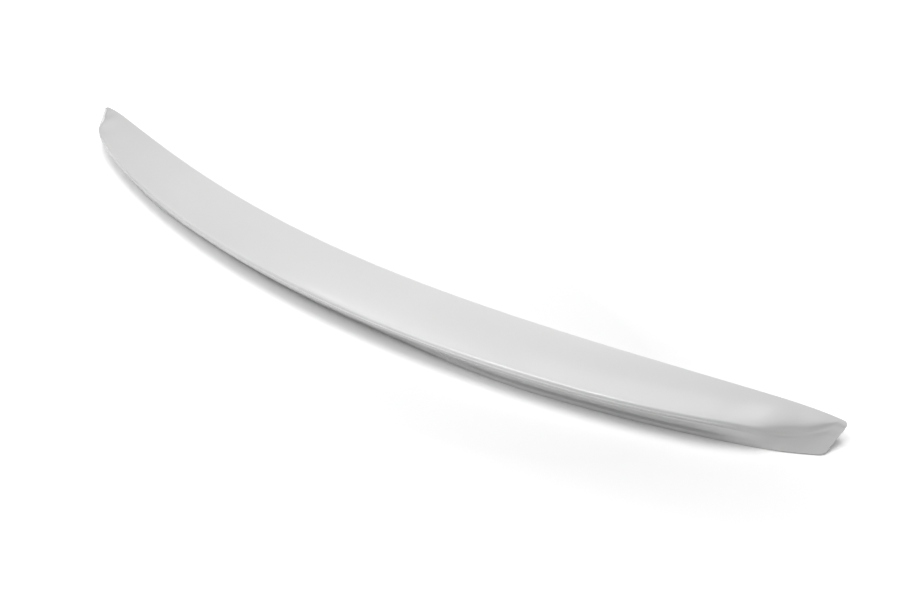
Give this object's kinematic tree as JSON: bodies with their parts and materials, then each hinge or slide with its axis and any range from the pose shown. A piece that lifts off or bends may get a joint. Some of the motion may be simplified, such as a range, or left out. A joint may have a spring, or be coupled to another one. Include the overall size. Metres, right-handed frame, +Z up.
{
  "type": "car rear spoiler",
  "caption": "Crescent-shaped trunk-lid lip spoiler, hollow underneath, with a raised undercut lip along its rear edge and tapered ends; bonds to a boot lid.",
  "frame": {"origin": "middle of the bounding box's bottom face: on the floor, under the centre line of the part", "axes": "+X across the car along the span, +Y to the front of the car, towards the thin leading edge, +Z up; the part lies as it comes to rest on a floor, leaning back on its rear edge"},
  "size_m": [1.0982, 0.1514, 0.0312],
  "materials": {
    "shell": "smooth light grey, semi-gloss, as ready for paint"
  },
  "bodies": {
    "root": {"spoiler_shell": "shell"}
  },
  "joints": []
}
